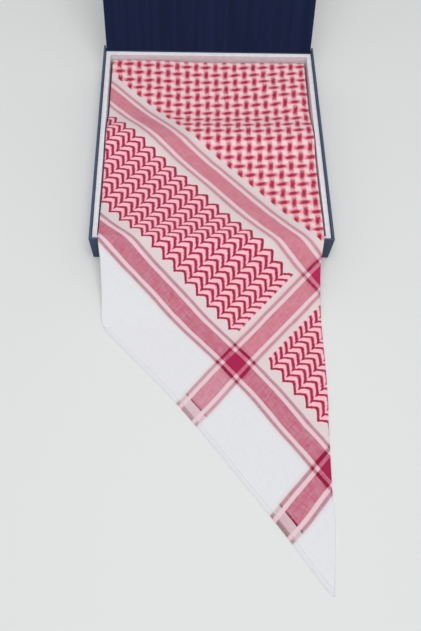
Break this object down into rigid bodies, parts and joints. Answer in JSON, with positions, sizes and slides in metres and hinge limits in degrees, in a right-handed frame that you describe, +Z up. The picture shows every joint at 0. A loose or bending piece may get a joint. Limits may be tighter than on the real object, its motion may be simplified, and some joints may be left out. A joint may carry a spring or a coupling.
{
  "type": "keffiyeh headscarf in an open presentation box",
  "caption": "Square woven cotton headscarf folded on its diagonal and packed in a hinged-lid tray, its corner laid out over the front wall.",
  "frame": {"origin": "centre of the tray's underside, on the surface the part stands on", "axes": "+Z up, +Y from the laid-out corner of the scarf towards the lid, +X to the right of someone facing the box"},
  "size_m": [0.3, 0.8639, 0.3199],
  "materials": {
    "navy_board": "matt navy paper wrap",
    "white_card": "smooth white paper",
    "cotton": "woven cotton, red and white"
  },
  "bodies": {
    "box": {"tray": "navy_board", "liner": "white_card", "scarf_upper_layer": "cotton", "scarf_lower_layer": "cotton", "scarf_turned_edge": "cotton", "scarf_packed_layers": "cotton"},
    "lid": {"lid": "navy_board"}
  },
  "joints": [
    {"name": "lid_hinge", "type": "hinge", "parent": "box", "child": "lid", "pos_m": [0, 0.1573, 0.0397], "axis": [-1, 0, 0], "range_deg": [-115.4, 61.5]}
  ]
}
